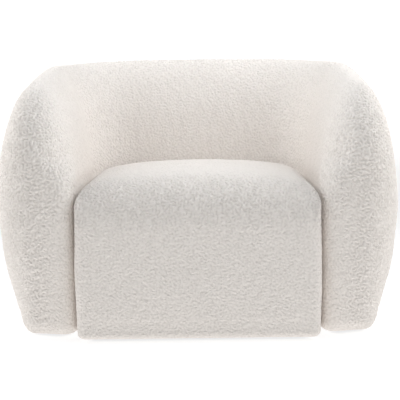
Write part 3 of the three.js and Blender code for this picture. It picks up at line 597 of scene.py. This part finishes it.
def napped(points, triangles, rubbed):
    """The surface with its nap raised on it, and each point's nub height from 0 to 1."""
    normal = vertex_normals(points, triangles)
    nub = nub_height(points)
    clear_of_floor = smooth(FLOOR_GAP, FLOOR_GAP + 0.010, points[:, 2])
    raised = nub * nap_height(points, rubbed) + ripples(points, LUMP, 7) * LUMP_HEIGHT * 0.5
    return points + normal * (raised * clear_of_floor)[:, None], nub


def make_piece(name, points, triangles, nub, material, nodes):
    used, inverse = np.unique(triangles, return_inverse=True)
    triangles = inverse.reshape(-1, 3)
    mesh = bpy.data.meshes.new(name)
    mesh.vertices.add(len(used))
    mesh.vertices.foreach_set("co", points[used].astype(np.float32).ravel())
    mesh.loops.add(triangles.size)
    mesh.loops.foreach_set("vertex_index", triangles.astype(np.int32).ravel())
    mesh.polygons.add(len(triangles))
    mesh.polygons.foreach_set("loop_start", np.arange(0, triangles.size, 3, dtype=np.int32))
    mesh.update(calc_edges=True)
    mesh.polygons.foreach_set("use_smooth", np.ones(len(triangles), bool))
    # Painted shade: the nub attribute gets darker towards the bottom edge, standing in for the shade under
    # the rounded hem
    shade = nub[used] * (1 - HEM_SHADE_DEPTH * (1 - smooth(FLOOR_GAP, FLOOR_GAP + HEM_SHADE_REACH, points[used, 2])))
    mesh.attributes.new("nub", "FLOAT", "POINT").data.foreach_set("value", shade.astype(np.float32))
    mesh.materials.append(material)
    piece = bpy.data.objects.new(name, mesh)
    bpy.context.scene.collection.objects.link(piece)
    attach(piece, "root")
    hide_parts(*nodes)


# ------------------------------------------------------------------ materials
class Shading:
    """A new material and short ways to add nodes to it."""

    def __init__(self, name, roughness, metallic=0.0, specular=0.4):
        self.material = bpy.data.materials.new(name)
        self.material.use_nodes = True
        self.nodes = self.material.node_tree.nodes
        self.links = self.material.node_tree.links
        self.shader = self.nodes["Principled BSDF"]
        self.shader.inputs["Roughness"].default_value = roughness
        self.shader.inputs["Metallic"].default_value = metallic
        self.shader.inputs["Specular IOR Level"].default_value = specular

    def link(self, out_socket, in_socket):
        self.links.new(out_socket, in_socket)

    def place(self, scale=(1, 1, 1)):
        """The object's own coordinates, stretched along its axes."""
        coordinates = self.nodes.new("ShaderNodeTexCoord")
        mapping = self.nodes.new("ShaderNodeMapping")
        mapping.inputs["Scale"].default_value = scale
        self.link(coordinates.outputs["Object"], mapping.inputs["Vector"])
        return mapping.outputs["Vector"]

    def colours(self, factor, *stops):
        """A ramp of (position, colour) stops driven by a factor."""
        ramp = self.nodes.new("ShaderNodeValToRGB")
        elements = ramp.color_ramp.elements
        while len(elements) < len(stops):
            elements.new(0.5)
        for element, (position, colour) in zip(elements, stops):
            element.position = position
            element.color = (*colour, 1)
        self.link(factor, ramp.inputs["Fac"])
        return ramp.outputs["Color"]

    def bump(self, height, strength, distance):
        bump = self.nodes.new("ShaderNodeBump")
        bump.inputs["Strength"].default_value = strength
        bump.inputs["Distance"].default_value = distance
        self.link(height, bump.inputs["Height"])
        self.link(bump.outputs["Normal"], self.shader.inputs["Normal"])


def boucle_material():
    s = Shading("boucle", 0.95, specular=0.12)
    s.shader.inputs["Sheen Weight"].default_value = 0.06
    s.shader.inputs["Sheen Roughness"].default_value = 0.6
    s.shader.inputs["Sheen Tint"].default_value = (1.0, 0.98, 0.95, 1)
    nub = s.nodes.new("ShaderNodeAttribute")
    nub.attribute_name = "nub"
    # Painted shade: the colour is darker in the gaps between the nubs and lighter on their tips, and it
    # darkens towards the bottom edge through the nub attribute
    colour = s.colours(nub.outputs["Fac"], (0.0, (0.790, 0.738, 0.692)), (0.35, (0.862, 0.809, 0.762)),
                       (0.75, (0.885, 0.832, 0.785)))
    s.link(colour, s.shader.inputs["Base Color"])
    loops = s.nodes.new("ShaderNodeTexVoronoi")
    loops.feature = "SMOOTH_F1"
    loops.inputs["Scale"].default_value = 185
    s.link(s.place(), loops.inputs["Vector"])
    flip = s.nodes.new("ShaderNodeMath")
    flip.operation = "SUBTRACT"
    flip.inputs[0].default_value = 1.0
    s.link(loops.outputs["Distance"], flip.inputs[1])
    s.bump(flip.outputs["Value"], 0.9, 0.0032)
    return s.material


def wood_material(name, light, dark, along):
    """Grain that runs along one axis. along is 0, 1 or 2."""
    s = Shading(name, 0.6)
    scale = [26, 26, 26]
    scale[along] = 1.6
    grain = s.nodes.new("ShaderNodeTexNoise")
    grain.inputs["Scale"].default_value = 3.0
    grain.inputs["Detail"].default_value = 6.0
    s.link(s.place(scale), grain.inputs["Vector"])
    s.link(s.colours(grain.outputs["Fac"], (0.35, dark), (0.62, light)), s.shader.inputs["Base Color"])
    s.bump(grain.outputs["Fac"], 0.3, 0.0004)
    return s.material


def grainy_material(name, roughness, dark, light, scale, height, metallic=0.0):
    """A material whose colour and surface vary in small soft grains."""
    s = Shading(name, roughness, metallic)
    grain = s.nodes.new("ShaderNodeTexNoise")
    grain.inputs["Scale"].default_value = scale
    grain.inputs["Detail"].default_value = 4.0
    s.link(s.place(), grain.inputs["Vector"])
    s.link(s.colours(grain.outputs["Fac"], (0.3, dark), (0.7, light)), s.shader.inputs["Base Color"])
    s.bump(grain.outputs["Fac"], 0.5, height)
    return s.material


def foam_material():
    s = Shading("foam", 0.9, specular=0.2)
    cells = s.nodes.new("ShaderNodeTexVoronoi")
    cells.inputs["Scale"].default_value = 420
    s.link(s.place(), cells.inputs["Vector"])
    colour = s.colours(cells.outputs["Distance"], (0.1, (0.86, 0.78, 0.55)), (0.8, (0.70, 0.61, 0.39)))
    s.link(colour, s.shader.inputs["Base Color"])
    s.bump(cells.outputs["Distance"], 0.6, 0.0008)
    return s.material


def woven_material(name, thread, dark, light):
    """Two crossed sets of threads."""
    s = Shading(name, 0.85, specular=0.2)
    heights = []
    for direction in ("X", "Z"):
        wave = s.nodes.new("ShaderNodeTexWave")
        wave.bands_direction = direction
        wave.inputs["Scale"].default_value = 1 / thread
        s.link(s.place(), wave.inputs["Vector"])
        heights.append(wave.outputs["Fac"])
    both = s.nodes.new("ShaderNodeMath")
    both.operation = "MAXIMUM"
    s.link(heights[0], both.inputs[0])
    s.link(heights[1], both.inputs[1])
    s.link(s.colours(both.outputs["Value"], (0.2, dark), (0.9, light)), s.shader.inputs["Base Color"])
    s.bump(both.outputs["Value"], 0.6, 0.0006)
    return s.material


def dress_frame():
    """Materials for the CAD nodes that stay in the model."""
    plywood = wood_material("plywood", (0.62, 0.44, 0.25), (0.40, 0.26, 0.13), 2)
    timber = wood_material("timber", (0.52, 0.33, 0.16), (0.33, 0.19, 0.08), 1)
    steel = grainy_material("spring_steel", 0.32, (0.20, 0.21, 0.23), (0.42, 0.43, 0.45), 180, 0.0001, 1.0)
    felt = grainy_material("felt", 0.95, (0.18, 0.17, 0.15), (0.38, 0.36, 0.33), 260, 0.0008)
    lining = woven_material("dust_cloth", 0.0040, (0.008, 0.008, 0.009), (0.028, 0.028, 0.030))
    webbing = woven_material("webbing", 0.0060, (0.012, 0.012, 0.014), (0.060, 0.061, 0.065))
    nylon = grainy_material("nylon", 0.45, (0.018, 0.018, 0.020), (0.030, 0.030, 0.033), 300, 0.0002)
    zinc = grainy_material("zinc_steel", 0.38, (0.42, 0.44, 0.46), (0.62, 0.64, 0.66), 90, 0.0001, 1.0)
    foam = foam_material()
    kinds = {
        "spring": steel, "insulator": felt, "dust_cloth": lining, "web": webbing, "glide": nylon,
        "screw": zinc, "joining_plate": zinc, "foam": foam, "pad": foam, "panel": plywood, "board": plywood,
        "corner": plywood, "rib": plywood, "rail": timber, "post": timber,
    }
    for name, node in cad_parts.items():
        material = next((m for word, m in kinds.items() if word in name), None)
        if material:
            for material_slot in node.material_slots:
                material_slot.material = material


# ------------------------------------------------------------------ the chair
def make_upholstery():
    boucle = boucle_material()
    points, parts = tub_surface(stuffed_tub())
    points, nub = napped(points, np.concatenate(list(parts.values())), LEAN_NAP)
    panels = {
        "right_arm_boucle": (("right_out", "right_nose", "right_in"), "right_arm_cover"),
        "left_arm_boucle": (("left_out", "left_nose", "left_in"), "left_arm_cover"),
        "back_boucle": (("back_in", "back_over"), "back_cover"),
        "outside_back_boucle": (("back_out",), "outside_back_cover"),
    }
    for name, (names, node) in panels.items():
        make_piece(name, points, np.concatenate([parts[n] for n in names]), nub, boucle, [node])
    points, parts = seat_surface(stuffed_seat())
    points, nub = napped(points, parts["seat"], SEAT_NAP)
    make_piece("seat_boucle", points, parts["seat"], nub, boucle, ["seat_cover"])


make_upholstery()
dress_frame()

# ------------------------------------------------------------------ room
STAGE_R = 8.0                 # radius of the round stage
STAGE_TOP = 2.2               # height of the rim that its floor sweeps up into
SWEEP_R = 1.4
STAGE_COLOUR = 0.35
STAGE_GLOW = 0.79             # the stage's own light near the chair
STAGE_GLOW_R = 2.0            # it grows from this radius out to the rim
RIM_GLOW = 0.94
STAGE_SIDES = 96
SWEEP_CUTS = 12


def make_stage():
    """A round pale floor that curves up into a rim, so that it fills the background from every side."""
    profile = [(0.001, 0.0), (STAGE_R - SWEEP_R, 0.0)]
    for k in range(1, SWEEP_CUTS + 1):
        a = QUARTER * k / SWEEP_CUTS
        profile.append((STAGE_R - SWEEP_R + SWEEP_R * math.sin(a), SWEEP_R * (1 - math.cos(a))))
    profile.append((STAGE_R, STAGE_TOP))
    around = [2 * math.pi * k / STAGE_SIDES for k in range(STAGE_SIDES)]
    points = [(r * math.cos(a), r * math.sin(a), z) for r, z in profile for a in around]
    faces = []
    for ring in range(len(profile) - 1):
        low, high = ring * STAGE_SIDES, (ring + 1) * STAGE_SIDES
        for k in range(STAGE_SIDES):
            following = (k + 1) % STAGE_SIDES
            faces.append((low + k, high + k, high + following, low + following))
    faces.append(tuple(range(STAGE_SIDES)))
    mesh = bpy.data.meshes.new("stage")
    mesh.from_pydata(points, [], faces)
    mesh.polygons.foreach_set("use_smooth", [True] * len(faces))
    s = Shading("stage", 0.9, specular=0.0)
    s.shader.inputs["Base Color"].default_value = (STAGE_COLOUR, STAGE_COLOUR, STAGE_COLOUR, 1)
    s.shader.inputs["Emission Color"].default_value = (1, 1, 1, 1)
    distance = s.nodes.new("ShaderNodeVectorMath")
    distance.operation = "LENGTH"
    s.link(s.place(), distance.inputs[0])
    glow = s.nodes.new("ShaderNodeMapRange")
    glow.inputs["From Min"].default_value = STAGE_GLOW_R
    glow.inputs["From Max"].default_value = STAGE_R
    glow.inputs["To Min"].default_value = STAGE_GLOW
    glow.inputs["To Max"].default_value = RIM_GLOW
    s.link(distance.outputs["Value"], glow.inputs["Value"])
    s.link(glow.outputs["Result"], s.shader.inputs["Emission Strength"])
    mesh.materials.append(s.material)
    stage = bpy.data.objects.new("stage", mesh)
    bpy.context.scene.collection.objects.link(stage)


CHAIR = (0, 0, 0.4)
SOFT_WHITE = (0.985, 1.0, 1.015)
COOL_WHITE = (0.94, 1.0, 1.06)


def make_light(name, at, size, power, colour):
    """A square soft box that faces the chair."""
    light = bpy.data.lights.new(name, "AREA")
    light.shape = "SQUARE"
    light.size = size
    light.energy = power
    light.color = colour
    lamp = bpy.data.objects.new(name, light)
    bpy.context.scene.collection.objects.link(lamp)
    lamp.location = at
    lamp.rotation_euler = (Vector(CHAIR) - Vector(at)).to_track_quat("-Z", "Y").to_euler()


def make_world():
    world = bpy.data.worlds.new("studio")
    bpy.context.scene.world = world
    world.use_nodes = True
    background = world.node_tree.nodes["Background"]
    background.inputs["Color"].default_value = (1, 1, 1, 1)
    background.inputs["Strength"].default_value = 0.02


make_stage()
make_world()
make_light("top", (0.0, 0.0, 2.4), 2.0, 5.5, COOL_WHITE)
make_light("left", (-2.2, 0.0, 0.9), 1.6, 8, SOFT_WHITE)
make_light("right", (2.2, -0.4, 0.9), 1.6, 4, SOFT_WHITE)
make_light("high_left", (-1.6, 0.1, 2.0), 1.4, 26, SOFT_WHITE)
make_light("high_right", (1.6, 0.1, 2.0), 1.4, 30, SOFT_WHITE)
make_light("inside", (0.2, -0.8, 1.7), 0.8, 4.5, COOL_WHITE)
bpy.context.scene.view_settings.view_transform = "Standard"
